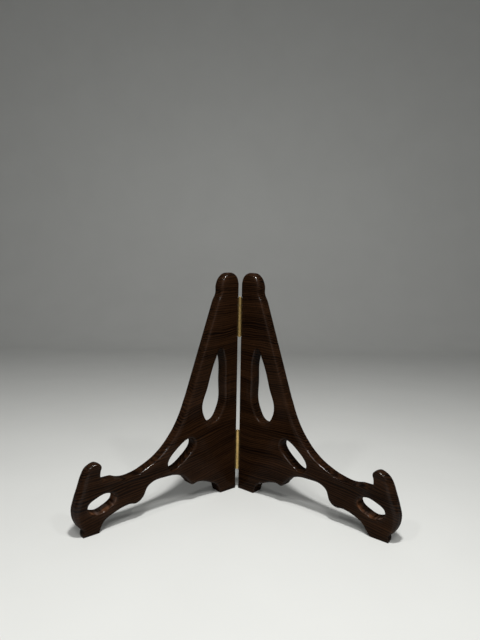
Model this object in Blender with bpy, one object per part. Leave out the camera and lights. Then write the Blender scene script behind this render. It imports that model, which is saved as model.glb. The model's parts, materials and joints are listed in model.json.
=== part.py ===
"""Folding plate display stand: two carved boards joined at the back by two brass butt hinges.

Metres, +Z up. The stand faces -Y and stands open in a V, as in use. The origin is on the floor, in
the middle of the stand's width and depth. Each board is drawn in its own plane: x runs from the
hinge pin towards the front foot, z is up, and the wood lies on the y side that turns outwards.
"""

import math

import bmesh
import bpy
from mathutils import Matrix

MM = 0.001

# The open stand.
HALF_OPENING = math.radians(49.0)  # between each board and straight ahead
FOOT_SPREAD = 238.0 * MM  # between the two front toes' inner corners
BOARD_THICKNESS = 12.5 * MM
BOARD_RUN = FOOT_SPREAD / 2 / math.sin(HALF_OPENING)  # from the hinge pin to the front toe
SEAT_HEIGHT = 39.9 * MM  # of the notches the plate stands in, midway between left and right
SEAT_FILLET = 0.8 * MM  # rise of the curve between a notch's floor and its hook
HOOK_LIFT = 1.1 * MM  # how much higher the left notch and hook are than that, and the right ones lower
EDGE_RADIUS = 1.5 * MM  # rounding of the carved edges
FACE_GAP = 0.2 * MM  # from the folding plane to each board's inner face

# The butt hinges.
HINGE_HEIGHT = 38.0 * MM
HINGE_BOTTOMS = {"lower": 20.0 * MM, "upper": 152.0 * MM}
BARREL_RADIUS = 2.5 * MM
LEAF_THICKNESS = 1.2 * MM
LEAF_WIDTH = 9.5 * MM  # from the pin's centre line
KNUCKLES = 5  # the left leaf has the first, third and fifth
KNUCKLE_GAP = 0.2 * MM
PIN_RADIUS = 1.2 * MM
PIN_CLEARANCE = 0.08 * MM
PIN_HEAD_RADIUS = 1.5 * MM
PIN_HEAD_HEIGHT = 0.6 * MM

# The screws.
SCREWS_PER_LEAF = 3
SCREW_PITCH = 13.0 * MM
SCREW_INSET = 6.2 * MM  # from the pin's centre line, across the leaf
SCREW_LENGTH = 12.0 * MM
SCREW_POINT = 3.0 * MM
SHANK_RADIUS = 1.2 * MM
HEAD_RADIUS = 2.2 * MM
SLOT_WIDTH = 0.7 * MM
SLOT_DEPTH = 0.6 * MM
SLOT_TURN = math.radians(37.0)  # from one screw to the next

FIT_GAP = 0.3 * MM  # between the wood and the metal let into it
HEAD_GAP = 0.15 * MM  # between a screw and its countersink
OVERCUT = 2.0 * MM  # how far a cutter runs past the face it enters

OUTLINE_STEPS = 4  # points for each stretch between two outline knots
ROUND_STEPS = 20

# Where the leaves lie, measured from the pin's centre line towards the front foot.
REAR_EDGE = BARREL_RADIUS - LEAF_THICKNESS
LEAF_FRONT = BARREL_RADIUS

WOOD_COLOUR = (0.040, 0.020, 0.013)
BRASS_COLOUR = (0.50, 0.34, 0.13)
AGED_BRASS_COLOUR = (0.36, 0.24, 0.10)


def board_outline(side):
    """The outline's knots: millimetres back from the front toe, millimetres up, corner or not.

    Hand carving left the left hook and notch a little higher than the right ones.
    """
    rear = (BOARD_RUN - REAR_EDGE) / MM
    lift = -side * HOOK_LIFT / MM
    toe = [
        (-1.45 if side < 0 else -1.0, 0.0, True),
        (-0.3, 4.9, True),
    ]
    front = [
        (-4.2, 9.2, False),
        (-7.8, 19.8, False),
        (-6.0, 30.0, False),
        (-2.6, 40.0, False),
        (0.4, 48.2 + lift / 2, False),
    ]
    hook = [
        (3.4, 53.0 + lift, False),
        (8.0, 55.5 + lift, False),
        (12.3, 55.6 + lift, False),
        (14.7, 53.2 + lift, False),
        (13.8, 48.4 + lift, False),
        (13.9, 43.6 + lift, False),
    ]
    seat = [
        (15.4, (SEAT_HEIGHT + SEAT_FILLET) / MM + lift, False),
        (18.2, SEAT_HEIGHT / MM + lift, True),
        (26.5, SEAT_HEIGHT / MM + lift, True),
    ]
    arm_top = [
        (33.0, 38.2 + lift / 2, False),
        (44.0, 39.2, False),
        (57.0, 43.6, False),
        (70.0, 51.0, False),
        (82.0, 62.5, False),
        (92.5, 78.0, False),
    ]
    backrest = [
        (101.6, 99.0, True),
        (131.9, 187.0, True),
    ]
    finial = [
        (135.2, 194.0, False),
        (135.4, 202.0, False),
        (139.4, 210.4, False),
        (146.4, 214.0, False),
        (153.2, 211.6, False),
        (rear, 204.0, True),
    ]
    rear_foot = [
        (rear, 0.0, True),
        (137.0, 0.0, True),
    ]
    rear_arch = [
        (133.8, 7.8, False),
        (125.1, 13.0, False),
        (110.4, 17.2, False),
        (103.6, 16.4, False),
        (100.4, 20.0, False),
    ]
    main_arch = [
        (92.0, 27.4, False),
        (75.2, 30.4, False),
        (58.4, 27.4, False),
    ]
    front_knots = toe + front + hook + seat
    rear_knots = arm_top + backrest + finial + rear_foot
    return front_knots + rear_knots + rear_arch + main_arch + front_arch(side)


def front_arch(side):
    """The underside from the front lobe to the toe: hand carving left the right toe a little longer."""
    left = [
        (52.0, 17.9, False),
        (46.4, 14.9, False),
        (39.6, 15.8, False),
        (24.9, 12.3, False),
        (16.6, 8.1, False),
        (13.6, 3.4, False),
        (12.6, 0.0, True),
    ]
    right = [
        (52.4, 16.6, False),
        (46.8, 14.0, False),
        (40.6, 14.6, False),
        (29.0, 11.9, False),
        (22.2, 8.3, False),
        (18.2, 3.6, False),
        (14.8, 0.0, True),
    ]
    return left if side < 0 else right


def foot_piercing():
    """The oval through the front foot, blunter and higher at its rear end."""
    return [
        (3.2, 22.4, False),
        (9.6, 16.3, False),
        (19.0, 17.4, False),
        (27.2, 24.6, False),
        (22.4, 29.9, False),
        (11.0, 28.9, False),
    ]


def arm_piercing():
    """The oval through the arm, leaning with the arm's rise."""
    return leaning_oval(centre=(92.0, 48.0), length=33.0, width=14.5, lean=math.radians(38.0))


def leaning_oval(centre, length, width, lean):
    """Four knots of an oval whose long axis rises towards the hinge."""
    along = (math.cos(lean) * length / 2, math.sin(lean) * length / 2)
    across = (-math.sin(lean) * width / 2, math.cos(lean) * width / 2)
    knots = []
    for step in (along, across):
        knots.append((centre[0] + step[0], centre[1] + step[1], False))
    for step in (along, across):
        knots.append((centre[0] - step[0], centre[1] - step[1], False))
    return knots


def upright_piercing():
    """The tall teardrop through the upright, narrowing upwards with it."""
    return [
        (127.0, 71.0, False),
        (115.6, 82.0, False),
        (121.2, 107.0, False),
        (130.4, 133.0, False),
        (135.4, 141.0, False),
        (139.0, 135.0, False),
        (140.8, 110.0, False),
        (138.8, 83.0, False),
    ]


def material(name, colour, roughness, metallic):
    made = bpy.data.materials.new(name)
    made.use_nodes = True
    shader = made.node_tree.nodes["Principled BSDF"]
    shader.inputs["Base Color"].default_value = (*colour, 1.0)
    shader.inputs["Roughness"].default_value = roughness
    shader.inputs["Metallic"].default_value = metallic
    return made


def wood(name):
    return material(name, WOOD_COLOUR, roughness=0.38, metallic=0.0)


def brass(name):
    return material(name, BRASS_COLOUR, roughness=0.35, metallic=1.0)


def aged_brass(name):
    return material(name, AGED_BRASS_COLOUR, roughness=0.45, metallic=1.0)


def new_object(name, mesh):
    made = bpy.data.objects.new(name, mesh)
    bpy.context.scene.collection.objects.link(made)
    return made


def mesh_from(name, build):
    """A mesh whose faces build(bm) makes, turned outwards."""
    bm = bmesh.new()
    build(bm)
    bmesh.ops.remove_doubles(bm, verts=bm.verts, dist=0.001 * MM)
    bmesh.ops.recalc_face_normals(bm, faces=bm.faces)
    mesh = bpy.data.meshes.new(name)
    bm.to_mesh(mesh)
    bm.free()
    return mesh


def box_mesh(low, high):
    """A box between two corners."""

    def build(bm):
        size = [b - a for a, b in zip(low, high)]
        middle = [(a + b) / 2 for a, b in zip(low, high)]
        bmesh.ops.create_cube(bm, size=1.0, matrix=Matrix.Translation(middle) @ Matrix.Diagonal((*size, 1.0)))

    return mesh_from("box", build)


def turned_mesh(name, profile):
    """A solid of revolution about z from (radius, height) points that start and end on the axis."""

    def build(bm):
        verts = [bm.verts.new((radius, 0.0, height)) for radius, height in profile]
        edges = [bm.edges.new(pair) for pair in zip(verts, verts[1:])]
        bmesh.ops.spin(
            bm,
            geom=verts + edges,
            cent=(0.0, 0.0, 0.0),
            axis=(0.0, 0.0, 1.0),
            angle=math.tau,
            steps=ROUND_STEPS,
            use_merge=True,
        )

    return mesh_from(name, build)


def carve(mesh, cutters):
    """The mesh with the cutter meshes taken out of it."""
    body = new_object("body", mesh)
    tools = [new_object("cutter", cutter) for cutter in cutters]
    for tool in tools:
        cut = body.modifiers.new("cut", "BOOLEAN")
        cut.operation = "DIFFERENCE"
        cut.object = tool
    graph = bpy.context.evaluated_depsgraph_get()
    carved = bpy.data.meshes.new_from_object(body.evaluated_get(graph))
    carved.name = mesh.name
    for helper in [body] + tools:
        bpy.data.objects.remove(helper)
    return carved


def shade(mesh, angle=30.0):
    mesh.shade_smooth()
    mesh.set_sharp_from_angle(angle=math.radians(angle))


def fretwork_mesh(outlines, middle_y):
    """A flat board with rounded edges, cut to the first outline and pierced by the others."""
    curve = bpy.data.curves.new("fretwork", "CURVE")
    curve.dimensions = "2D"
    curve.fill_mode = "BOTH"
    curve.resolution_u = OUTLINE_STEPS
    curve.extrude = BOARD_THICKNESS / 2 - EDGE_RADIUS
    curve.bevel_depth = EDGE_RADIUS
    curve.bevel_resolution = 1
    curve.offset = -EDGE_RADIUS
    for knots in outlines:
        spline = curve.splines.new("BEZIER")
        spline.bezier_points.add(len(knots) - 1)
        spline.use_cyclic_u = True
        for point, (back, up, corner) in zip(spline.bezier_points, knots):
            point.co = (BOARD_RUN - back * MM, up * MM, 0.0)
            point.handle_left_type = "VECTOR" if corner else "AUTO"
            point.handle_right_type = point.handle_left_type
    drawn = new_object("drawn", curve)
    graph = bpy.context.evaluated_depsgraph_get()
    mesh = bpy.data.meshes.new_from_object(drawn.evaluated_get(graph))
    bpy.data.objects.remove(drawn)
    upright = Matrix.Translation((0.0, middle_y, 0.0)) @ Matrix.Rotation(math.radians(90.0), 4, "X")

    def build(bm):
        bm.from_mesh(mesh)
        bm.transform(upright)

    return mesh_from("board", build)


def screw_heights():
    """The screws' heights above a hinge's bottom end."""
    first = (HINGE_HEIGHT - SCREW_PITCH * (SCREWS_PER_LEAF - 1)) / 2
    return [first + SCREW_PITCH * i for i in range(SCREWS_PER_LEAF)]


def rod_along_x(start, end, radius, y, z):
    """A round cutter between two places along x."""

    def build(bm):
        place = Matrix.Translation(((start + end) / 2, y, z)) @ Matrix.Rotation(math.radians(90.0), 4, "Y")
        bmesh.ops.create_cone(
            bm,
            cap_ends=True,
            segments=ROUND_STEPS // 2,
            radius1=radius,
            radius2=radius,
            depth=end - start,
            matrix=place,
        )

    return mesh_from("rod", build)


def board_mesh(side):
    """One carved board, with the hinges' mortises and the screws' holes in its rear edge."""
    outlines = [board_outline(side), foot_piercing(), arm_piercing(), upright_piercing()]
    blank = fretwork_mesh(outlines, side * (FACE_GAP + BOARD_THICKNESS / 2))
    cutters = []
    for bottom in HINGE_BOTTOMS.values():
        across = sorted((-side * BARREL_RADIUS, side * (LEAF_WIDTH + FIT_GAP)))
        low = (-OVERCUT, across[0], bottom - FIT_GAP)
        high = (LEAF_FRONT + FIT_GAP, across[1], bottom + HINGE_HEIGHT + FIT_GAP)
        cutters.append(box_mesh(low, high))
        for height in screw_heights():
            hole_end = REAR_EDGE + SCREW_LENGTH + FIT_GAP
            hole = rod_along_x(0.0, hole_end, SHANK_RADIUS + FIT_GAP, side * SCREW_INSET, bottom + height)
            cutters.append(hole)
    mesh = carve(blank, cutters)
    shade(mesh)
    return mesh


def leaf_mesh(name, side, first_knuckle):
    """A hinge leaf with its own knuckles, standing on z = 0 with the pin's centre line on the z axis."""

    def build(bm):
        corner = math.acos(REAR_EDGE / BARREL_RADIUS)
        turn = math.tau - corner
        steps = round(ROUND_STEPS * turn / math.tau)
        section = [(LEAF_FRONT, LEAF_WIDTH)]
        for i in range(steps + 1):
            angle = -turn * i / steps
            section.append((BARREL_RADIUS * math.cos(angle), BARREL_RADIUS * math.sin(angle)))
        section.append((REAR_EDGE, LEAF_WIDTH))
        verts = [bm.verts.new((x, side * y, 0.0)) for x, y in section]
        face = bm.faces.new(verts)
        raised = bmesh.ops.extrude_face_region(bm, geom=[face])["geom"]
        top = [item for item in raised if isinstance(item, bmesh.types.BMVert)]
        bmesh.ops.translate(bm, verts=top, vec=(0.0, 0.0, HINGE_HEIGHT))

    blank = mesh_from(name, build)
    cutters = [turned_mesh("bore", rod_profile(PIN_RADIUS + PIN_CLEARANCE, -OVERCUT, HINGE_HEIGHT + OVERCUT))]
    pitch = HINGE_HEIGHT / KNUCKLES
    reach = BARREL_RADIUS + FIT_GAP
    for i in range(KNUCKLES):
        if i % 2 == first_knuckle:
            continue
        across = sorted((-side * (reach + OVERCUT), side * reach))
        bottom = pitch * i - (KNUCKLE_GAP / 2 if i > 0 else OVERCUT)
        top = pitch * (i + 1) + (KNUCKLE_GAP / 2 if i < KNUCKLES - 1 else OVERCUT)
        low = (-reach - OVERCUT, across[0], bottom)
        high = (reach + OVERCUT, across[1], top)
        cutters.append(box_mesh(low, high))
    for height in screw_heights():
        countersink = turned_mesh("countersink", countersink_profile())
        countersink.transform(screw_place(side, height))
        cutters.append(countersink)
    mesh = carve(blank, cutters)
    shade(mesh)
    return mesh


def rod_profile(radius, bottom, top):
    return [(0.0, bottom), (radius, bottom), (radius, top), (0.0, top)]


def countersink_profile():
    """The screw's head and shank, let out by the head gap and run past both faces of the leaf."""
    cone = HEAD_RADIUS - SHANK_RADIUS
    return [
        (0.0, -cone - OVERCUT),
        (SHANK_RADIUS + HEAD_GAP, -cone - OVERCUT),
        (SHANK_RADIUS + HEAD_GAP, -cone),
        (HEAD_RADIUS + HEAD_GAP, 0.0),
        (HEAD_RADIUS + HEAD_GAP, OVERCUT),
        (0.0, OVERCUT),
    ]


def screw_place(side, height):
    """Where a screw sits in its leaf: its head flush with the leaf's rear face, its point to the front."""
    point_forward = Matrix.Rotation(math.radians(-90.0), 4, "Y")
    return Matrix.Translation((REAR_EDGE, side * SCREW_INSET, height)) @ point_forward


def screw_mesh():
    """A slotted countersunk wood screw, its head's face at z = 0 and its point down."""
    cone = HEAD_RADIUS - SHANK_RADIUS
    profile = [
        (0.0, -SCREW_LENGTH),
        (SHANK_RADIUS, -SCREW_LENGTH + SCREW_POINT),
        (SHANK_RADIUS, -cone),
        (HEAD_RADIUS, 0.0),
        (0.0, 0.0),
    ]
    slot = box_mesh(
        (-HEAD_RADIUS - OVERCUT, -SLOT_WIDTH / 2, -SLOT_DEPTH),
        (HEAD_RADIUS + OVERCUT, SLOT_WIDTH / 2, OVERCUT),
    )
    mesh = carve(turned_mesh("screw", profile), [slot])
    shade(mesh)
    return mesh


def pin_mesh():
    """A hinge pin with a low domed head at each end, for a hinge that stands on z = 0."""
    bottom = -KNUCKLE_GAP
    top = HINGE_HEIGHT + KNUCKLE_GAP
    head = [(PIN_HEAD_RADIUS, 0.0), (PIN_HEAD_RADIUS, 0.4), (0.6 * PIN_HEAD_RADIUS, 0.85), (0.0, 1.0)]
    lower_head = [(radius, bottom - rise * PIN_HEAD_HEIGHT) for radius, rise in reversed(head)]
    upper_head = [(radius, top + rise * PIN_HEAD_HEIGHT) for radius, rise in head]
    mesh = turned_mesh("pin", lower_head + [(PIN_RADIUS, bottom), (PIN_RADIUS, top)] + upper_head)
    shade(mesh)
    return mesh


def pin_setback():
    """How far the pin is behind the middle of the stand's depth, measured over the rounded edges."""
    ahead = math.cos(HALF_OPENING)
    out = math.sin(HALF_OPENING)
    most_forward = min(back for back, _, _ in board_outline(side=1)) * MM
    front_round = (BOARD_RUN - most_forward - EDGE_RADIUS) * ahead - (FACE_GAP + EDGE_RADIUS) * out
    rear_round = (FACE_GAP + BOARD_THICKNESS - EDGE_RADIUS) * out - (REAR_EDGE + EDGE_RADIUS) * ahead
    return (front_round + EDGE_RADIUS - rear_round - EDGE_RADIUS) / 2


def place(name, mesh, made_material, pivot, matrix=None):
    """An object of its own on a pivot. Copies share their mesh, so the material is on the object."""
    if not mesh.materials:
        mesh.materials.append(None)
    made = new_object(name, mesh)
    made.material_slots[0].link = "OBJECT"
    made.material_slots[0].material = made_material
    made.parent = pivot
    if matrix is not None:
        made.matrix_local = matrix


def main():
    for old in list(bpy.data.objects):
        bpy.data.objects.remove(old)

    pin_y = pin_setback()
    sides = {"left": -1, "right": 1}
    screw = screw_mesh()
    for side_name, side in sides.items():
        pivot = new_object(side_name + "_side_pivot", None)
        pivot.location = (0.0, pin_y, 0.0)
        pivot.rotation_euler = (0.0, 0.0, math.radians(-90.0) + side * HALF_OPENING)
        board_name = side_name + "_side_board"
        place(board_name, board_mesh(side), wood(board_name), pivot)

        leaf = leaf_mesh("leaf", side, first_knuckle=0 if side < 0 else 1)
        for hinge, bottom in HINGE_BOTTOMS.items():
            leaf_name = f"{hinge}_hinge_leaf_{side_name}"
            place(leaf_name, leaf, brass(leaf_name), pivot, Matrix.Translation((0.0, 0.0, bottom)))
            for i, height in enumerate(screw_heights()):
                screw_name = f"{hinge}_hinge_screw_{side_name}_{i + 1}"
                turned = Matrix.Rotation(SLOT_TURN * (i + 1) * (2 + side), 4, "Z")
                where = screw_place(side, bottom + height) @ turned
                place(screw_name, screw, aged_brass(screw_name), pivot, where)
            if side < 0:
                pin_name = f"{hinge}_hinge_pin"
                place(pin_name, pin_mesh(), brass(pin_name), pivot, Matrix.Translation((0.0, 0.0, bottom)))


main()
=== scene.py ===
import json
import math

import bmesh
import bpy
import numpy as np
from mathutils import Matrix, Vector, noise
from mathutils.geometry import delaunay_2d_cdt


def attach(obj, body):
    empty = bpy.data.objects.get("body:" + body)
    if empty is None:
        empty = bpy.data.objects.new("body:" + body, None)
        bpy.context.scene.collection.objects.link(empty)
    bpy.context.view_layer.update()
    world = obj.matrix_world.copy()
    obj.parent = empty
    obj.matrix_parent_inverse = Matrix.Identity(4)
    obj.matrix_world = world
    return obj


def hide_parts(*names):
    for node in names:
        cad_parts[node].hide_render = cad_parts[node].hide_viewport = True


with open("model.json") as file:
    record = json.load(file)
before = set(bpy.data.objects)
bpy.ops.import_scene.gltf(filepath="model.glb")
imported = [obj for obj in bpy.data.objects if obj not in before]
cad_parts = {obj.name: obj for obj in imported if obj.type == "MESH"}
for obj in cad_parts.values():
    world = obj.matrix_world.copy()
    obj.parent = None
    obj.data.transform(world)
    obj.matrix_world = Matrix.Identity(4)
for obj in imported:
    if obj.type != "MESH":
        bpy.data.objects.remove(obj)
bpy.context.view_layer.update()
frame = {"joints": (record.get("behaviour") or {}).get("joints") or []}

# Lengths are millimetres in a board's own axes until side_matrix puts a piece in the frame: x runs
# from the hinge pin to the front foot, z is up from the floor, and the wood lies on the y side that
# turns outwards. The outlines give each knot as millimetres back from the front toe and up.
MM = 0.001
PIN = Vector(frame["joints"][0]["pos_m"])
HALF_OPENING = math.radians(49.0)
FOOT_SPREAD = 238.0
RUN = FOOT_SPREAD / 2 / math.sin(HALF_OPENING)
THICKNESS = 12.5
FACE_GAP = 0.2
SEAT_HEIGHT = 39.9
SEAT_FILLET = 0.8
HOOK_LIFT = 1.1
FOOT_OVAL_MIDDLE = (15.0, 23.0)
FOOT_OVAL_HALF_SIZE = (15.0, 9.0)

# The toe's front and the hook's crest are carved to parabolas across the wood. A curve is millimetres
# taken off per square millimetre from the peak, and a peak is a depth from the inner face.
TOE_DEPTH = 10.0
TOE_HEIGHT = 7.5
TOE_CURVE = {-1: 0.032, 1: 0.017}
TOE_PEAK = {-1: 3.4, 1: 0.0}
HOOK_DEPTH = 20.0
HOOK_HEIGHT = 14.0
HOOK_CURVE = 0.020
HOOK_PEAK = 4.0
REAR_ROUND = 1.6
FINISH_WAVE = 0.05
FINISH_RIPPLE = 0.02

HINGE_HEIGHT = 38.0
HINGE_BOTTOMS = {"lower": 20.0, "upper": 152.0}
BARREL_RADIUS = 2.5
LEAF_THICKNESS = 1.2
LEAF_WIDTH = 9.5
REAR_EDGE = BARREL_RADIUS - LEAF_THICKNESS
KNUCKLES = 5
KNUCKLE_GAP = 0.2
PIN_RADIUS = 1.2
PIN_CLEARANCE = 0.08
PIN_HEAD_RADIUS = 1.5
PIN_HEAD_HEIGHT = 0.6
LEAF_BEVEL = 0.12
BEVEL_ANGLE = math.radians(40.0)

SCREWS_PER_LEAF = 3
SCREW_PITCH = 13.0
SCREW_INSET = 6.2
SCREW_LENGTH = 12.0
SCREW_POINT = 3.0
POINT_TAPER = 0.8
SHANK_RADIUS = 1.2
HEAD_RADIUS = 2.2
HEAD_RIM = 0.05
HEAD_EASE = 0.06
SLOT_WIDTH = 0.7
SLOT_DEPTH = 0.6
SLOT_TURN = math.radians(37.0)
THREAD_PITCH = 0.95
THREAD_DEPTH = 0.3
THREAD_WIDTH = 0.45
THREAD_TOP = 4.2

LAYER_PITCH = 2.0
GRAIN_RISE = {-1: 0.15, 1: 0.06}

FIT_GAP = 0.3
HEAD_GAP = 0.15
OVERCUT = 2.0

OUTLINE_SPACING = 0.6
CURVE_STEPS = 16
CORNER_BLUR = 0.45
RADIUS_BLUR = 0.8
RADIUS_REACH = 3
STRAIGHT = 1e-4
ROUND_STEPS = 7
WALL_STEPS = 5
ROUND_LIMIT = 0.85
CAP_SPACING = 3.0
MORTISE_ROWS = (0.3, 0.7, 1.2)
MORTISE_ROW_PAST = 1.5
MORTISE_ROW_SPACING = 0.6
SAME_POINT = 1e-6
WITHIN_EDGES = 1
TURN_STEPS = 64
SCREW_STEPS = 40
SCREW_RING_SPACING = 0.12
DOME_STEPS = 6
SWEEP_STEPS = 16


# ---------------------------------------------------------------- the boards' shapes

def smooth(back, up, inner=2.0, outer=None):
    """A knot on a smooth stretch: its place and the rounding of the inner and outer edge there."""
    return (back, up, False, inner, outer or inner)


def sharp(back, up, inner=1.0, outer=None):
    """A knot where the outline turns a corner."""
    return (back, up, True, inner, outer or inner)


def board_outline(side):
    """Knots round one board. The left hook and notch stand a little higher than the right ones."""
    rear = RUN - REAR_EDGE
    lift = -side * HOOK_LIFT
    toe = [
        sharp(-1.45 if side < 0 else -1.0, 0.0, 0.4, 0.7),
        smooth(-0.3, 4.9, 1.4, 3.0),
    ]
    front = [
        smooth(-4.2, 9.2, 3.2, 4.6),
        smooth(-7.8, 19.8, 4.8),
        smooth(-6.0, 30.0, 5.0),
        smooth(-2.6, 40.0, 5.0),
        smooth(0.4, 48.2 + lift / 2, 4.6),
    ]
    hook = [
        smooth(3.4, 53.0 + lift, 3.4, 5.0),
        smooth(8.0, 55.5 + lift, 2.8, 5.4),
        smooth(12.3, 55.6 + lift, 2.4, 5.2),
        smooth(14.7, 53.2 + lift, 1.8, 3.4),
        smooth(13.8, 48.4 + lift, 1.3, 2.0),
        smooth(13.9, 43.6 + lift, 1.2),
    ]
    seat = [
        smooth(15.4, SEAT_HEIGHT + SEAT_FILLET + lift, 1.0),
        sharp(18.2, SEAT_HEIGHT + lift, 1.0),
        sharp(26.5, SEAT_HEIGHT + lift, 1.2),
    ]
    arm_top = [
        smooth(33.0, 38.2 + lift / 2),
        smooth(44.0, 39.2, 2.4),
        smooth(57.0, 43.6, 2.6),
        smooth(70.0, 51.0, 2.8),
        smooth(82.0, 62.5, 2.8),
        smooth(92.5, 78.0, 2.8),
    ]
    backrest = [
        sharp(101.6, 99.0, 2.4),
        sharp(131.9, 187.0, 2.4),
    ]
    finial = [
        smooth(135.2, 194.0, 2.8),
        smooth(135.4, 202.0, 3.4),
        smooth(139.4, 210.3, 3.8),
        smooth(146.4, 213.9, 3.8),
        smooth(153.2, 211.5, 3.0),
        sharp(rear, 204.0, 1.1, 1.0),
    ]
    rear_foot = [
        sharp(rear, 0.0, 1.1, 0.5),
        sharp(137.0, 0.0, 0.5),
    ]
    rear_arch = [
        smooth(133.8, 7.8, 1.4),
        smooth(125.1, 13.0, 1.8),
        smooth(110.4, 17.2, 1.8),
        smooth(103.6, 16.4, 1.8),
        smooth(100.4, 20.0, 1.8),
    ]
    main_arch = [
        smooth(92.0, 27.4),
        smooth(75.2, 30.4),
        smooth(58.4, 27.4),
    ]
    front_knots = toe + front + hook + seat
    rear_knots = arm_top + backrest + finial + rear_foot
    return front_knots + rear_knots + rear_arch + main_arch + front_arch(side)


def front_arch(side):
    """The underside from the front lobe to the toe, which is a little longer on the right board."""
    left = [
        smooth(52.0, 17.9, 1.8),
        smooth(46.4, 14.9, 1.8),
        smooth(39.6, 15.8, 1.6),
        smooth(24.9, 12.3, 1.6),
        smooth(16.6, 8.1, 1.4),
        smooth(13.6, 3.4, 1.0),
        sharp(12.6, 0.0, 0.4),
    ]
    right = [
        smooth(52.4, 16.6, 1.8),
        smooth(46.8, 14.0, 1.8),
        smooth(40.6, 14.6, 1.6),
        smooth(29.0, 11.9, 1.6),
        smooth(22.2, 8.3, 1.4),
        smooth(18.2, 3.6, 1.0),
        sharp(14.8, 0.0, 0.4),
    ]
    return left if side < 0 else right


def foot_piercing():
    """The oval through the front foot, blunter and higher at its rear end."""
    return [
        smooth(3.2, 22.4, 1.8),
        smooth(9.6, 16.3, 2.3, 1.6),
        smooth(19.0, 17.4, 2.4, 1.6),
        smooth(27.2, 24.6, 1.8, 1.6),
        smooth(22.4, 29.9, 1.8),
        smooth(11.0, 28.9, 1.8),
    ]


def arm_piercing():
    """An oval whose long axis rises towards the hinge."""
    centre = (92.0, 48.0)
    length, width, lean = 33.0, 14.5, math.radians(38.0)
    along = (math.cos(lean) * length / 2, math.sin(lean) * length / 2)
    across = (-math.sin(lean) * width / 2, math.cos(lean) * width / 2)
    knots = []
    for sign in (1, -1):
        for step in (along, across):
            knots.append(smooth(centre[0] + sign * step[0], centre[1] + sign * step[1]))
    return knots


def upright_piercing():
    """The tall teardrop through the upright, narrowing upwards with it."""
    return [
        smooth(127.0, 71.0),
        smooth(115.6, 82.0),
        smooth(121.2, 107.0),
        smooth(130.4, 133.0, 1.8),
        smooth(135.4, 141.0, 1.6),
        smooth(139.0, 135.0, 1.8),
        smooth(140.8, 110.0),
        smooth(138.8, 83.0),
    ]


def traced(knots):
    """Points along the knots' closed Bezier curve, as (x, z) rows, and both edge roundings at each."""
    curve = bpy.data.curves.new("outline", "CURVE")
    curve.dimensions = "2D"
    curve.fill_mode = "NONE"
    curve.resolution_u = CURVE_STEPS
    spline = curve.splines.new("BEZIER")
    spline.bezier_points.add(len(knots) - 1)
    spline.use_cyclic_u = True
    for point, (back, up, corner, _, _) in zip(spline.bezier_points, knots):
        point.co = (RUN - back, up, 0.0)
        point.handle_left_type = "VECTOR" if corner else "AUTO"
        point.handle_right_type = point.handle_left_type
    drawn = linked("outline", curve)
    graph = bpy.context.evaluated_depsgraph_get()
    mesh = drawn.evaluated_get(graph).to_mesh()
    points = np.array([v.co[:2] for v in mesh.vertices])
    bpy.data.objects.remove(drawn)
    places = np.array([(RUN - knot[0], knot[1]) for knot in knots])
    at_knot = [int(np.argmin(np.sum((points - place) ** 2, axis=1))) for place in places]
    soft = np.array([knot[3:] for knot in knots + knots[:1]])
    steps = np.arange(len(points))
    ends = at_knot + [len(points)]
    return points, np.column_stack([np.interp(steps, ends, soft[:, k]) for k in (0, 1)])


def evenly_spaced(points, soft):
    """The closed outline and its roundings at even steps."""
    ring = np.vstack([points, points[:1]])
    values = np.vstack([soft, soft[:1]])
    along = np.concatenate([[0.0], np.cumsum(np.linalg.norm(np.diff(ring, axis=0), axis=1))])
    count = round(along[-1] / OUTLINE_SPACING)
    at = np.arange(count) * along[-1] / count

    def sampled(rows):
        return np.column_stack([np.interp(at, along, rows[:, k]) for k in (0, 1)])

    return sampled(ring), sampled(values)


def wood_on_left(points, soft, outer):
    """The outline turned to have the wood on its left: anticlockwise outside, clockwise in a piercing."""
    x, z = points[:, 0], points[:, 1]
    anticlockwise = np.sum(x * np.roll(z, -1) - np.roll(x, -1) * z) > 0
    if anticlockwise != outer:
        return points[::-1], soft[::-1]
    return points, soft


def blurred(values, sigma):
    """A closed row of values under a Gaussian blur, sigma in millimetres along the outline."""
    reach = math.ceil(3 * sigma / OUTLINE_SPACING)
    total = np.zeros_like(values)
    weights = 0.0
    for step in range(-reach, reach + 1):
        weight = math.exp(-0.5 * (step * OUTLINE_SPACING / sigma) ** 2)
        total += weight * np.roll(values, step, axis=0)
        weights += weight
    return total / weights


def carved_loop(knots, outer):
    """An outline ready for rounding: points, normals into the wood and both edges' radii at each."""
    points, soft = evenly_spaced(*wood_on_left(*traced(knots), outer))
    points = blurred(points, CORNER_BLUR)
    ahead = np.roll(points, -1, axis=0) - points
    behind = np.roll(ahead, 1, axis=0)
    tangent = ahead + behind
    normals = blurred(np.column_stack([-tangent[:, 1], tangent[:, 0]]), CORNER_BLUR)
    normals /= np.linalg.norm(normals, axis=1)[:, None]
    across = behind[:, 0] * ahead[:, 1] - behind[:, 1] * ahead[:, 0]
    turn = np.arctan2(across, np.sum(behind * ahead, axis=1))
    tightest = (ROUND_LIMIT * OUTLINE_SPACING / np.maximum(turn, STRAIGHT))[:, None]
    radii = np.minimum(soft, tightest)
    for step in range(1, RADIUS_REACH + 1):
        beside = np.minimum(np.roll(radii, step, axis=0), np.roll(radii, -step, axis=0))
        radii = np.minimum(radii, beside)
    return points, normals, np.minimum(blurred(radii, RADIUS_BLUR), tightest)


def inside(points, loop):
    """Which points are inside a closed loop, by the even-odd rule."""
    found = np.zeros(len(points), bool)
    ends = np.roll(loop, -1, axis=0)
    for (x0, z0), (x1, z1) in zip(loop, ends):
        if z0 == z1:
            continue
        crosses = (points[:, 1] > z0) != (points[:, 1] > z1)
        found ^= crosses & (points[:, 0] < x0 + (points[:, 1] - z0) * (x1 - x0) / (z1 - z0))
    return found


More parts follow.
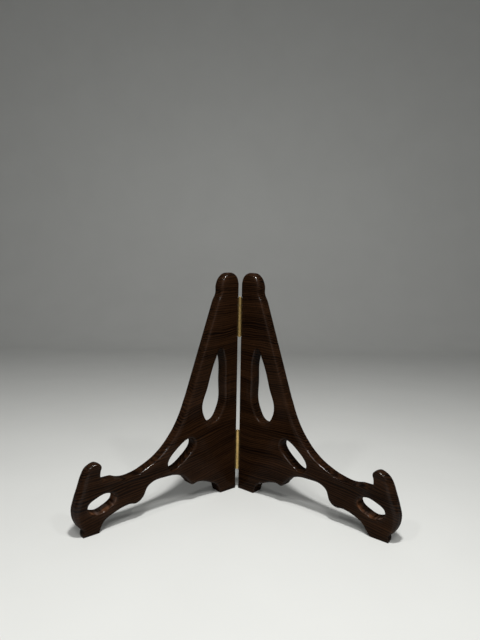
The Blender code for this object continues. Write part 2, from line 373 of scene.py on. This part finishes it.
def beside_mortises():
    """Cap points in rows just ahead of the mortises, so that the wear on their edges stays narrow."""
    rows = [BARREL_RADIUS + FIT_GAP + ahead for ahead in MORTISE_ROWS]
    points = []
    for bottom in HINGE_BOTTOMS.values():
        low = bottom - MORTISE_ROW_PAST
        high = bottom + HINGE_HEIGHT + MORTISE_ROW_PAST
        heights = np.arange(low, high, MORTISE_ROW_SPACING)
        points += [(x, height) for x in rows for height in heights]
    return np.array(points)


def cap_triangles(rims, extra):
    """Points inside the flat cap and its triangles, indexed over the rims' points and then these."""
    rims = [np.float32(rim).astype(float) for rim in rims]
    outer = rims[0]
    low, high = outer.min(axis=0), outer.max(axis=0)
    xs = np.arange(low[0], high[0], CAP_SPACING)
    zs = np.arange(low[1], high[1], CAP_SPACING)
    grid = np.array([(x + (row % 2) * CAP_SPACING / 2, z) for row, z in enumerate(zs) for x in xs])
    keep = inside(grid, outer)
    for hole in rims[1:]:
        keep &= ~inside(grid, hole)
    grid = grid[keep]
    rim_points = np.vstack(rims)
    nearest = np.array([np.min(np.sum((rim_points - p) ** 2, axis=1)) for p in grid])
    grid = np.vstack([grid[nearest > (0.5 * CAP_SPACING) ** 2], extra])
    edges = []
    start = 0
    for rim in rims:
        count = len(rim)
        edges += [(start + i, start + (i + 1) % count) for i in range(count)]
        start += count
    everything = [Vector(p) for p in np.vstack([rim_points, grid])]
    _, _, faces, origins, _, _ = delaunay_2d_cdt(everything, edges, [], WITHIN_EDGES, SAME_POINT)
    faces = np.array([origin[0] for origin in origins])[np.array(faces)]
    middles = np.vstack([rim_points, grid])[faces].mean(axis=1)
    keep = np.ones(len(faces), bool)
    for hole in rims[1:]:
        keep &= ~inside(middles, hole)
    return grid, faces[keep]


def hand_finish(x, y, z, seed):
    """How far scraping and sanding took a face down, in millimetres: never less than nothing."""
    wave = noise.noise(Vector((x / 34.0 + seed, y / 20.0, z / 26.0)))
    ripple = noise.noise(Vector((x / 11.0 + seed, y / 9.0 + 5.0, z / 9.0)))
    return FINISH_WAVE * (1.0 + wave) + FINISH_RIPPLE * (1.0 + ripple)


def toe_rounding(side, back, up, depth):
    """How far the toe's front is pared back at a depth from the inner face, which rounds it in plan."""
    near_front = min(1.0, max(0.0, (TOE_DEPTH - back) / TOE_DEPTH))
    near_floor = min(1.0, max(0.0, (TOE_HEIGHT - up) / (0.8 * TOE_HEIGHT)))
    eased = near_floor ** 2 * (3.0 - 2.0 * near_floor)
    return TOE_CURVE[side] * (depth - TOE_PEAK[side]) ** 2 * near_front * eased


def hook_crown(back, up, depth):
    """How far the hook's crest drops at a depth from the inner face, which rounds it across its width."""
    if back > HOOK_DEPTH:
        return 0.0
    near_top = min(1.0, max(0.0, (up - SEAT_HEIGHT) / HOOK_HEIGHT))
    eased = near_top ** 2 * (3.0 - 2.0 * near_top)
    return HOOK_CURVE * (depth - HOOK_PEAK) ** 2 * eased


def rear_rounding(x, outward):
    """A point by the rear outer edge brought in to that edge's rounding, which is even from end to end."""
    centre = (REAR_EDGE + REAR_ROUND, THICKNESS / 2 - REAR_ROUND)
    along, across = x - centre[0], outward - centre[1]
    reach = math.hypot(along, across)
    if along > 0.0 or across < 0.0 or reach < REAR_ROUND:
        return x, outward
    return centre[0] + along * REAR_ROUND / reach, centre[1] + across * REAR_ROUND / reach


def board_mesh(side):
    """The carved board: walls, rounded edges and two flat caps, in its own axes and in millimetres."""
    loops = [carved_loop(board_outline(side), True)]
    for piercing in (foot_piercing(), arm_piercing(), upright_piercing()):
        loops.append(carved_loop(piercing, False))
    half = THICKNESS / 2
    bm = bmesh.new()

    def vertex(point, outward):
        """outward is 0 at the board's middle and grows towards its outer face."""
        x, z = point
        pared = toe_rounding(side, RUN - x, z, outward + half)
        dropped = hook_crown(RUN - x, z, outward + half)
        x, outward = rear_rounding(x, outward)
        worn = hand_finish(x, outward, z, 40.0 * side) * outward / half
        return bm.verts.new((x - pared, side * (outward - worn), z - dropped))

    rims = {-1: [], 1: []}
    for points, normals, radii in loops:
        rings = []
        for face in (-1, 1):
            radius = radii[:, 0 if face < 0 else 1]
            if face > 0:
                for step in range(1, WALL_STEPS):
                    part = step / WALL_STEPS
                    depth = (1 - part) * (radii[:, 0] - half) + part * (half - radii[:, 1])
                    rings.append([vertex(point, outward) for point, outward in zip(points, depth)])
            steps = list(range(ROUND_STEPS + 1))
            for step in steps if face < 0 else reversed(steps):
                angle = math.pi / 2 * step / ROUND_STEPS
                inset = points + normals * (radius * (1 - math.sin(angle)))[:, None]
                depth = face * (half - radius * (1 - math.cos(angle)))
                rings.append([vertex(point, outward) for point, outward in zip(inset, depth)])
                if step == 0:
                    rims[face].append((inset, rings[-1]))
        for ring, following in zip(rings, rings[1:]):
            for i in range(len(ring)):
                j = (i + 1) % len(ring)
                bm.faces.new((ring[i], ring[j], following[j], following[i]))
    for face in (-1, 1):
        extra = beside_mortises() if face < 0 else np.empty((0, 2))
        grid, triangles = cap_triangles([inset for inset, _ in rims[face]], extra)
        verts = [v for _, ring in rims[face] for v in ring]
        verts += [vertex(point, face * half) for point in grid]
        for triangle in triangles:
            bm.faces.new([verts[i] for i in triangle])
    bmesh.ops.recalc_face_normals(bm, faces=bm.faces)
    bmesh.ops.translate(bm, verts=bm.verts, vec=(0.0, side * (FACE_GAP + half), 0.0))
    return finished(bm, "board")


# ---------------------------------------------------------------- solids in millimetres

def linked(name, data):
    made = bpy.data.objects.new(name, data)
    bpy.context.scene.collection.objects.link(made)
    return made


def finished(bm, name):
    mesh = bpy.data.meshes.new(name)
    bm.to_mesh(mesh)
    bm.free()
    return mesh


def box_mesh(low, high):
    """A box between two corners."""
    bm = bmesh.new()
    size = [b - a for a, b in zip(low, high)]
    middle = [(a + b) / 2 for a, b in zip(low, high)]
    bmesh.ops.create_cube(bm, size=1.0, matrix=Matrix.Translation(middle) @ Matrix.Diagonal((*size, 1.0)))
    return finished(bm, "box")


def turned_mesh(profile, steps=TURN_STEPS):
    """A solid of revolution about z from (radius, height) points that start and end on the axis."""
    bm = bmesh.new()
    verts = [bm.verts.new((radius, 0.0, height)) for radius, height in profile]
    edges = [bm.edges.new(pair) for pair in zip(verts, verts[1:])]
    bmesh.ops.spin(
        bm,
        geom=verts + edges,
        cent=(0.0, 0.0, 0.0),
        axis=(0.0, 0.0, 1.0),
        angle=math.tau,
        steps=steps,
        use_merge=True,
    )
    bmesh.ops.remove_doubles(bm, verts=bm.verts, dist=0.001)
    bmesh.ops.recalc_face_normals(bm, faces=bm.faces)
    return finished(bm, "turned")


def rod_profile(radius, bottom, top):
    return [(0.0, bottom), (radius, bottom), (radius, top), (0.0, top)]


def carve(mesh, cutters, bevel=0.0):
    """The mesh with the cutter meshes taken out of it and, where asked, its sharp edges broken."""
    body = linked("blank", mesh)
    tools = [linked("cutter", cutter) for cutter in cutters]
    for tool in tools:
        cut = body.modifiers.new("cut", "BOOLEAN")
        cut.operation = "DIFFERENCE"
        cut.object = tool
    if bevel:
        broken = body.modifiers.new("broken_edges", "BEVEL")
        broken.width = bevel
        broken.segments = 2
        broken.angle_limit = BEVEL_ANGLE
    graph = bpy.context.evaluated_depsgraph_get()
    carved = bpy.data.meshes.new_from_object(body.evaluated_get(graph))
    for helper in [body] + tools:
        bpy.data.objects.remove(helper)
    return carved


def screw_heights():
    """The screws' heights above a hinge's bottom end."""
    first = (HINGE_HEIGHT - SCREW_PITCH * (SCREWS_PER_LEAF - 1)) / 2
    return [first + SCREW_PITCH * i for i in range(SCREWS_PER_LEAF)]


def screw_place(side, height):
    """Where a screw sits: its head flush with the leaf's rear face, its point to the front."""
    point_forward = Matrix.Rotation(math.radians(-90.0), 4, "Y")
    return Matrix.Translation((REAR_EDGE, side * SCREW_INSET, height)) @ point_forward


def hinge_cutters(side):
    """The mortises for the leaves and the pilot holes for their screws."""
    cutters = []
    for bottom in HINGE_BOTTOMS.values():
        across = sorted((-side * BARREL_RADIUS, side * (LEAF_WIDTH + FIT_GAP)))
        low = (-OVERCUT, across[0], bottom - FIT_GAP)
        high = (BARREL_RADIUS + FIT_GAP, across[1], bottom + HINGE_HEIGHT + FIT_GAP)
        cutters.append(box_mesh(low, high))
        for height in screw_heights():
            hole = turned_mesh(rod_profile(SHANK_RADIUS + FIT_GAP, -SCREW_LENGTH - FIT_GAP, REAR_EDGE))
            hole.transform(screw_place(side, bottom + height))
            cutters.append(hole)
    return cutters


def leaf_mesh(side, first_knuckle):
    """A hinge leaf with its own knuckles, standing on z = 0 with the pin's centre line on the z axis."""
    corner = math.acos(REAR_EDGE / BARREL_RADIUS)
    turn = math.tau - corner
    steps = round(TURN_STEPS * turn / math.tau)
    section = [(BARREL_RADIUS, LEAF_WIDTH)]
    for i in range(steps + 1):
        angle = -turn * i / steps
        section.append((BARREL_RADIUS * math.cos(angle), BARREL_RADIUS * math.sin(angle)))
    section.append((REAR_EDGE, LEAF_WIDTH))
    bm = bmesh.new()
    face = bm.faces.new([bm.verts.new((x, side * y, 0.0)) for x, y in section])
    raised = bmesh.ops.extrude_face_region(bm, geom=[face])["geom"]
    top = [item for item in raised if isinstance(item, bmesh.types.BMVert)]
    bmesh.ops.translate(bm, verts=top, vec=(0.0, 0.0, HINGE_HEIGHT))
    bmesh.ops.recalc_face_normals(bm, faces=bm.faces)

    bore = rod_profile(PIN_RADIUS + PIN_CLEARANCE, -OVERCUT, HINGE_HEIGHT + OVERCUT)
    cutters = [turned_mesh(bore)]
    pitch = HINGE_HEIGHT / KNUCKLES
    reach = BARREL_RADIUS + FIT_GAP
    for i in range(KNUCKLES):
        if i % 2 == first_knuckle:
            continue
        across = sorted((-side * (reach + OVERCUT), side * reach))
        bottom = pitch * i - (KNUCKLE_GAP / 2 if i > 0 else OVERCUT)
        top = pitch * (i + 1) + (KNUCKLE_GAP / 2 if i < KNUCKLES - 1 else OVERCUT)
        cutters.append(box_mesh((-reach - OVERCUT, across[0], bottom), (reach + OVERCUT, across[1], top)))
    for height in screw_heights():
        countersink = turned_mesh(countersink_profile())
        countersink.transform(screw_place(side, height))
        cutters.append(countersink)
    return carve(finished(bm, "leaf"), cutters, bevel=LEAF_BEVEL)


def countersink_profile():
    """The screw's head and shank, let out by the head gap and run past both faces of the leaf."""
    cone = HEAD_RADIUS - SHANK_RADIUS
    return [
        (0.0, -cone - OVERCUT),
        (SHANK_RADIUS + HEAD_GAP, -cone - OVERCUT),
        (SHANK_RADIUS + HEAD_GAP, -cone),
        (HEAD_RADIUS + HEAD_GAP, 0.0),
        (HEAD_RADIUS + HEAD_GAP, OVERCUT),
        (0.0, OVERCUT),
    ]


def screw_radius(height, turned):
    """A wood screw's radius at a height below its head and a fraction of a turn round it."""
    above_tip = height + SCREW_LENGTH
    cone = HEAD_RADIUS - SHANK_RADIUS
    if height > -cone:
        return min(HEAD_RADIUS + height, HEAD_RADIUS - HEAD_RIM)
    core = SHANK_RADIUS * min(1.0, above_tip / SCREW_POINT) ** POINT_TAPER
    fade = min(1.0, above_tip / SCREW_POINT, max(0.0, (-THREAD_TOP - height) / THREAD_PITCH))
    phase = (height / THREAD_PITCH - turned) % 1.0
    ridge = max(0.0, 1.0 - abs(2.0 * phase - 1.0) / THREAD_WIDTH)
    return core - THREAD_DEPTH / 3 + THREAD_DEPTH * ridge * fade


def screw_mesh():
    """A slotted countersunk wood screw, its head's face at z = 0 and its point down."""
    bm = bmesh.new()
    tip = bm.verts.new((0.0, 0.0, -SCREW_LENGTH))
    heights = list(np.arange(-SCREW_LENGTH + SCREW_RING_SPACING, -HEAD_RIM, SCREW_RING_SPACING))
    heights += [-HEAD_RIM, 0.0]
    rings = []
    for height in heights:
        ring = []
        for i in range(SCREW_STEPS):
            radius = screw_radius(height, i / SCREW_STEPS) - (HEAD_EASE if height == 0.0 else 0.0)
            angle = math.tau * i / SCREW_STEPS
            ring.append(bm.verts.new((radius * math.cos(angle), radius * math.sin(angle), height)))
        rings.append(ring)
    for i in range(SCREW_STEPS):
        j = (i + 1) % SCREW_STEPS
        bm.faces.new((tip, rings[0][j], rings[0][i]))
        for ring, following in zip(rings, rings[1:]):
            bm.faces.new((ring[i], ring[j], following[j], following[i]))
    bm.faces.new(rings[-1])
    bmesh.ops.recalc_face_normals(bm, faces=bm.faces)
    slot = box_mesh(
        (-HEAD_RADIUS - OVERCUT, -SLOT_WIDTH / 2, -SLOT_DEPTH),
        (HEAD_RADIUS + OVERCUT, SLOT_WIDTH / 2, OVERCUT),
    )
    return carve(finished(bm, "screw"), [slot])


def pin_mesh():
    """A hinge pin with a low domed head at each end, for a hinge that stands on z = 0."""
    bottom = -KNUCKLE_GAP
    top = HINGE_HEIGHT + KNUCKLE_GAP
    dome = []
    for i in range(DOME_STEPS + 1):
        angle = math.pi / 2 * i / DOME_STEPS
        dome.append((PIN_HEAD_RADIUS * math.cos(angle), PIN_HEAD_HEIGHT * math.sin(angle)))
    lower_head = [(radius, bottom - rise) for radius, rise in reversed(dome)]
    upper_head = [(radius, top + rise) for radius, rise in dome]
    return turned_mesh(lower_head + [(PIN_RADIUS, bottom), (PIN_RADIUS, top)] + upper_head)


def side_matrix(side):
    """From a board's own axes in millimetres to the frame's in metres."""
    turned = Matrix.Rotation(-math.pi / 2 + side * HALF_OPENING, 4, "Z")
    return Matrix.Translation(PIN) @ turned @ Matrix.Scale(MM, 4)


# ---------------------------------------------------------------- materials

class Nodes:
    """A short way to add and join shader nodes."""

    def __init__(self, material):
        material.use_nodes = True
        self.tree = material.node_tree
        self.shader = self.tree.nodes["Principled BSDF"]

    def add(self, kind, settings=None, **inputs):
        node = self.tree.nodes.new(kind)
        for key, value in (settings or {}).items():
            setattr(node, key, value)
        for key, value in inputs.items():
            self.feed(node.inputs[key.replace("_", " ")], value)
        return node

    def feed(self, socket, value):
        if isinstance(value, bpy.types.NodeSocket):
            self.tree.links.new(value, socket)
        else:
            socket.default_value = value

    def math(self, operation, a, b=0.0, clamp=False):
        node = self.add("ShaderNodeMath", {"operation": operation, "use_clamp": clamp})
        self.feed(node.inputs[0], a)
        self.feed(node.inputs[1], b)
        return node.outputs[0]

    def mix(self, factor, a, b, blend="MIX"):
        node = self.add("ShaderNodeMix", {"data_type": "RGBA", "blend_type": blend})
        self.feed(node.inputs[0], factor)
        self.feed(node.inputs[6], a)
        self.feed(node.inputs[7], b)
        return node.outputs[2]

    def noise(self, vector, scale=1.0, detail=2.0, roughness=0.5):
        settings = {"Vector": vector, "Scale": scale, "Detail": detail, "Roughness": roughness}
        return self.add("ShaderNodeTexNoise", **settings).outputs["Fac"]

    def stretched(self, vector, scale, offset=(0.0, 0.0, 0.0)):
        return self.add("ShaderNodeMapping", Vector=vector, Scale=scale, Location=offset).outputs[0]

    def levels(self, value, low, high, to_low=0.0, to_high=1.0):
        made = self.add("ShaderNodeMapRange", {"clamp": True})
        for index, number in enumerate((value, low, high, to_low, to_high)):
            self.feed(made.inputs[index], number)
        return made.outputs[0]

    def blotches(self, vector, scale, detail, low, high, to_low=0.0, to_high=1.0):
        """Noise stretched along the axes, with its middle range spread out over all the levels."""
        cloud = self.noise(self.stretched(vector, scale), detail=detail)
        return self.levels(cloud, low, high, to_low, to_high)


def wood_material(name, side):
    """Dark close-grained timber with its layers lying flat, so that fine lines run along the faces
    and short ones cross the narrow edges, under a thin rubbed wax."""
    material = bpy.data.materials.new(name)
    n = Nodes(material)
    place = n.add("ShaderNodeTexCoord").outputs["Object"]
    own_axes = n.add("ShaderNodeMapping", {"vector_type": "TEXTURE"}, Vector=place, Location=PIN)
    n.feed(own_axes.inputs["Rotation"], (0.0, 0.0, -math.pi / 2 + side * HALF_OPENING))
    own_start = (side * 310.0, side * 57.0, side * 83.0)
    mm = n.stretched(own_axes.outputs[0], (1.0 / MM,) * 3, own_start)

    # The layers rise and fall a little along the board and lean across it.
    drift = n.noise(n.stretched(mm, (0.011, 0.03, 0.02)), detail=2.0)
    split = n.add("ShaderNodeSeparateXYZ", Vector=mm).outputs
    lift = n.math("MULTIPLY", n.math("SUBTRACT", drift, 0.5), 16.0)
    lean = n.math("ADD", n.math("MULTIPLY", split[1], 0.16), n.math("MULTIPLY", split[0], GRAIN_RISE[side]))
    height = n.math("ADD", n.math("ADD", split[2], lift), lean)
    layered = n.add("ShaderNodeCombineXYZ", X=split[0], Y=split[1], Z=height).outputs[0]

    wander = n.noise(n.stretched(layered, (0.015, 0.08, 0.14)), detail=2.0)
    swing = n.math("MULTIPLY", wander, 16.0)
    beat = n.math("ADD", n.math("MULTIPLY", height, math.tau / LAYER_PITCH), swing)
    layers = n.levels(n.math("SINE", beat), -0.9, 0.9)
    streaks = n.blotches(layered, (0.014, 0.16, 1.1), 3.0, 0.34, 0.68)
    fine = n.blotches(layered, (0.04, 0.5, 3.4), 2.0, 0.32, 0.70)
    bands = n.blotches(layered, (0.006, 0.04, 0.11), 1.0, 0.36, 0.66)
    pores = n.blotches(layered, (0.15, 2.2, 3.4), 2.0, 0.60, 0.69)

    dark = (0.0014, 0.0008, 0.0006, 1.0)
    brown = (0.0270, 0.0118, 0.0050, 1.0)
    ruddy = (0.0450, 0.0190, 0.0080, 1.0)
    near_black = (0.0020, 0.0012, 0.0010, 1.0)
    rubbed = (0.050, 0.024, 0.013, 1.0)
    # Painted light: a paler brown and a grey sheen colour for the front piercing's walls, in place of the
    # light and reflection they catch.
    lit_wall_brown = (0.090, 0.040, 0.020, 1.0)
    sheen_wall_grey = (0.080, 0.054, 0.044, 1.0)
    grain = n.math("ADD", n.math("MULTIPLY", layers, 0.6), n.math("MULTIPLY", streaks, 0.4))
    colour = n.mix(n.math("POWER", grain, 1.8), dark, brown)
    colour = n.mix(n.math("MULTIPLY", bands, n.math("MULTIPLY", fine, 0.50)), colour, ruddy)
    colour = n.mix(n.math("MULTIPLY", pores, 0.8), colour, near_black)

    # The front piercing's walls are left as the saw and the file made them, without wax, and are painted
    # paler: their brown and grey tones are painted light and painted sheen, standing in for the light and
    # reflection the walls catch.
    out_of_line = n.add("ShaderNodeVectorMath", {"operation": "DOT_PRODUCT"})
    n.feed(out_of_line.inputs[0], n.add("ShaderNodeNewGeometry").outputs["Normal"])
    n.feed(out_of_line.inputs[1], side_matrix(side).to_3x3().normalized() @ Vector((0.0, 1.0, 0.0)))
    wall = n.levels(n.math("ABSOLUTE", out_of_line.outputs["Value"]), 0.85, 0.45)
    own_place = n.add("ShaderNodeSeparateXYZ", Vector=own_axes.outputs[0]).outputs
    middle = (RUN - FOOT_OVAL_MIDDLE[0], FOOT_OVAL_MIDDLE[1])
    from_middle = [n.math("SUBTRACT", own_place[axis], at * MM) for axis, at in zip((0, 2), middle)]
    reach = [n.math("DIVIDE", offset, half * MM) for offset, half in zip(from_middle, FOOT_OVAL_HALF_SIZE)]
    squared = n.math("ADD", n.math("POWER", reach[0], 2.0), n.math("POWER", reach[1], 2.0))
    sawn_and_lit_wall = n.math("MULTIPLY", wall, n.levels(squared, 1.15, 0.95))
    saw_mark_sheen = n.blotches(mm, (0.42, 0.05, 0.20), 2.0, 0.42, 0.58, 0.20, 1.0)
    greyer = n.blotches(mm, (0.10, 0.10, 0.10), 1.0, 0.42, 0.58)
    pale = n.mix(greyer, lit_wall_brown, sheen_wall_grey)
    # Painted light and painted sheen laid over the piercing's walls, broken up by saw marks.
    colour = n.mix(n.math("MULTIPLY", sawn_and_lit_wall, saw_mark_sheen), colour, pale)

    # Handling rubs the proud edges a little paler.
    proud = n.levels(n.add("ShaderNodeNewGeometry").outputs["Pointiness"], 0.505, 0.56)
    patchy = n.blotches(mm, (0.09, 0.09, 0.09), 3.0, 0.42, 0.7)
    colour = n.mix(n.math("MULTIPLY", n.math("MULTIPLY", proud, patchy), 0.4), colour, rubbed)
    n.feed(n.shader.inputs["Base Color"], colour)

    # The wax shines most on the proud edges, fills no pores and hardly reaches the sawn walls.
    smear = n.blotches(mm, (0.05, 0.08, 0.08), 3.0, 0.3, 0.7, 0.36, 0.50)
    n.feed(n.shader.inputs["Roughness"], n.math("ADD", smear, n.math("MULTIPLY", pores, 0.2)))
    n.feed(n.shader.inputs["Specular IOR Level"], 0.0)
    rubbed_in = n.math("ADD", 0.08, n.math("MULTIPLY", proud, 0.95))
    wax = n.math("SUBTRACT", rubbed_in, n.math("MULTIPLY", pores, 0.07))
    kept = n.math("SUBTRACT", 1.0, n.math("MULTIPLY", sawn_and_lit_wall, 0.7))
    n.feed(n.shader.inputs["Coat Weight"], n.math("MULTIPLY", wax, kept))
    n.feed(n.shader.inputs["Coat Roughness"], 0.12)
    n.feed(n.shader.inputs["Coat IOR"], 1.45)

    ridges = n.math("ADD", n.math("MULTIPLY", grain, 0.9), n.math("MULTIPLY", fine, 0.4))
    relief = n.math("SUBTRACT", ridges, pores)
    bump = n.add("ShaderNodeBump", Strength=0.7, Distance=0.00007, Height=relief)
    n.feed(n.shader.inputs["Normal"], bump.outputs[0])
    return material


def brass_material(name, tone, tarnish):
    """Solid brass with a fine rub and darker patches of tarnish."""
    material = bpy.data.materials.new(name)
    n = Nodes(material)
    place = n.add("ShaderNodeTexCoord").outputs["Object"]
    mm = n.stretched(place, (1.0 / MM,) * 3)
    patches = n.levels(n.noise(n.stretched(mm, (0.22, 0.22, 0.16)), detail=5.0, roughness=0.6), 0.40, 0.68)
    scratches = n.noise(n.stretched(mm, (1.4, 1.4, 0.12)), detail=3.0, roughness=0.7)
    dull = tuple(0.42 * part for part in tone)
    colour = n.mix(n.math("MULTIPLY", patches, tarnish), (*tone, 1.0), (*dull, 1.0))
    n.feed(n.shader.inputs["Base Color"], colour)
    n.feed(n.shader.inputs["Metallic"], 1.0)
    rubbed = n.levels(scratches, 0.3, 0.7, 0.24, 0.38)
    rough = n.math("ADD", rubbed, n.math("MULTIPLY", patches, 0.2 * tarnish))
    n.feed(n.shader.inputs["Roughness"], rough)
    bump = n.add("ShaderNodeBump", Strength=0.25, Distance=0.00003, Height=scratches)
    n.feed(n.shader.inputs["Normal"], bump.outputs[0])
    return material


def plain_material(name, colour, roughness):
    material = bpy.data.materials.new(name)
    n = Nodes(material)
    place = n.add("ShaderNodeTexCoord").outputs["Object"]
    mottle = n.levels(n.noise(place, scale=9.0, detail=3.0), 0.3, 0.7, 0.985, 1.015)
    tone = n.add("ShaderNodeVectorMath", {"operation": "SCALE"})
    n.feed(tone.inputs[0], colour)
    n.feed(tone.inputs["Scale"], mottle)
    n.feed(n.shader.inputs["Base Color"], tone.outputs[0])
    n.feed(n.shader.inputs["Roughness"], roughness)
    return material


# ---------------------------------------------------------------- the pieces

def add_piece(name, mesh, material, body, node, smooth_angle=35.0):
    """One finished piece that stands for a CAD node and moves with its body."""
    mesh.shade_smooth()
    mesh.set_sharp_from_angle(angle=math.radians(smooth_angle))
    mesh.materials.clear()
    mesh.materials.append(material)
    piece = linked(name, mesh)
    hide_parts(node)
    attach(piece, body)


def placed(mesh, matrix):
    """A copy of a mesh, moved."""
    copy = mesh.copy()
    copy.transform(matrix)
    return copy


def make_side(side_name, side, brass, aged_brass, screw):
    body = side_name + "_side"
    to_frame = side_matrix(side)
    board = carve(board_mesh(side), hinge_cutters(side))
    board_name = body + "_board"
    wood = wood_material(board_name + "_wood", side)
    add_piece(board_name + "_carved", placed(board, to_frame), wood, body, board_name)
    leaf = leaf_mesh(side, first_knuckle=0 if side < 0 else 1)
    for hinge, bottom in HINGE_BOTTOMS.items():
        raised = to_frame @ Matrix.Translation((0.0, 0.0, bottom))
        leaf_name = f"{hinge}_hinge_leaf_{side_name}"
        add_piece(leaf_name + "_brass", placed(leaf, raised), brass, body, leaf_name)
        for i, height in enumerate(screw_heights()):
            screw_name = f"{hinge}_hinge_screw_{side_name}_{i + 1}"
            turned = Matrix.Rotation(SLOT_TURN * (i + 1) * (2 + side), 4, "Z")
            made = placed(screw, to_frame @ screw_place(side, bottom + height) @ turned)
            add_piece(screw_name + "_threaded", made, aged_brass, body, screw_name)
        if side < 0:
            pin_name = f"{hinge}_hinge_pin"
            add_piece(pin_name + "_domed", placed(pin_mesh(), raised), brass, body, pin_name)


# ---------------------------------------------------------------- stage, light and camera

def make_stage():
    """A floor that curves up into a backdrop, all one pale sheet."""
    near, far, radius, top, half_width = -2.0, 1.1, 0.5, 2.2, 2.6
    profile = [(near, 0.0)]
    for i in range(SWEEP_STEPS + 1):
        angle = math.pi / 2 * i / SWEEP_STEPS
        profile.append((far + radius * math.sin(angle), radius - radius * math.cos(angle)))
    profile.append((far + radius, top))
    bm = bmesh.new()
    rows = [[bm.verts.new((x, y, z)) for y, z in profile] for x in (-half_width, half_width)]
    for i in range(len(profile) - 1):
        bm.faces.new((rows[0][i], rows[1][i], rows[1][i + 1], rows[0][i + 1]))
    mesh = finished(bm, "backdrop")
    mesh.shade_smooth()
    mesh.materials.append(plain_material("pale_sheet", (0.66, 0.675, 0.665), 0.6))
    linked("backdrop", mesh)


def area_light(name, location, target, size, power, colour=(1.0, 1.0, 1.0)):
    data = bpy.data.lights.new(name, "AREA")
    data.shape = "DISK"
    data.size = size
    data.energy = power
    data.color = colour
    light = linked(name, data)
    light.location = location
    aim = Vector(target) - Vector(location)
    light.rotation_euler = aim.to_track_quat("-Z", "Y").to_euler()


def make_lights():
    """A small lamp overhead, as over a display case, a softer one in front of it, one high to each side
    that is aimed at a foot, and a broad weak fill."""
    warm = (1.0, 0.985, 0.96)
    area_light("overhead_key", (0.03, -0.25, 0.80), (0.0, -0.02, 0.0), 0.09, 5.0, warm)
    area_light("front_spot", (0.0, -0.75, 0.95), (0.0, -0.02, 0.03), 0.3, 2.9, warm)
    for side in (-1, 1):
        area_light("side_lamp", (side * 0.42, -0.40, 0.85), (side * 0.11, -0.05, 0.05), 0.06, 0.9, warm)
    area_light("front_fill", (0.0, -1.5, 1.1), (0.0, 0.0, 0.1), 1.4, 2.8, warm)
    world = bpy.data.worlds.new("studio")
    world.use_nodes = True
    background = world.node_tree.nodes["Background"]
    background.inputs["Color"].default_value = (1.0, 0.985, 0.96, 1.0)
    background.inputs["Strength"].default_value = 0.14
    bpy.context.scene.world = world
    bpy.context.scene.view_settings.view_transform = "Standard"


def make_camera():
    """The viewer is close in front of the toes, as high as the finials, and looks a little down."""
    distance, height, off_centre = 0.3688, 0.1972, -0.0010
    degrees_down, degrees_right, roll = 3.55, 0.16, 0.018
    toe_line = PIN.y - RUN * math.cos(HALF_OPENING) * MM
    data = bpy.data.cameras.new("camera")
    data.sensor_width = 36.0
    data.lens = 27.16875
    data.clip_start = 0.01
    camera = linked("camera", data)
    level = Matrix.Rotation(math.radians(-degrees_right), 4, "Z")
    aimed = level @ Matrix.Rotation(math.radians(90.0 - degrees_down), 4, "X")
    place = Matrix.Translation((off_centre, toe_line - distance, height))
    camera.matrix_world = place @ aimed @ Matrix.Rotation(roll, 4, "Z")
    bpy.context.scene.camera = camera


brass = brass_material("brass", (0.62, 0.43, 0.17), tarnish=0.6)
aged_brass = brass_material("aged_brass", (0.46, 0.31, 0.13), tarnish=0.9)
screw = screw_mesh()
make_side("left", -1, brass, aged_brass, screw)
make_side("right", 1, brass, aged_brass, screw)
make_stage()
make_lights()
make_camera()
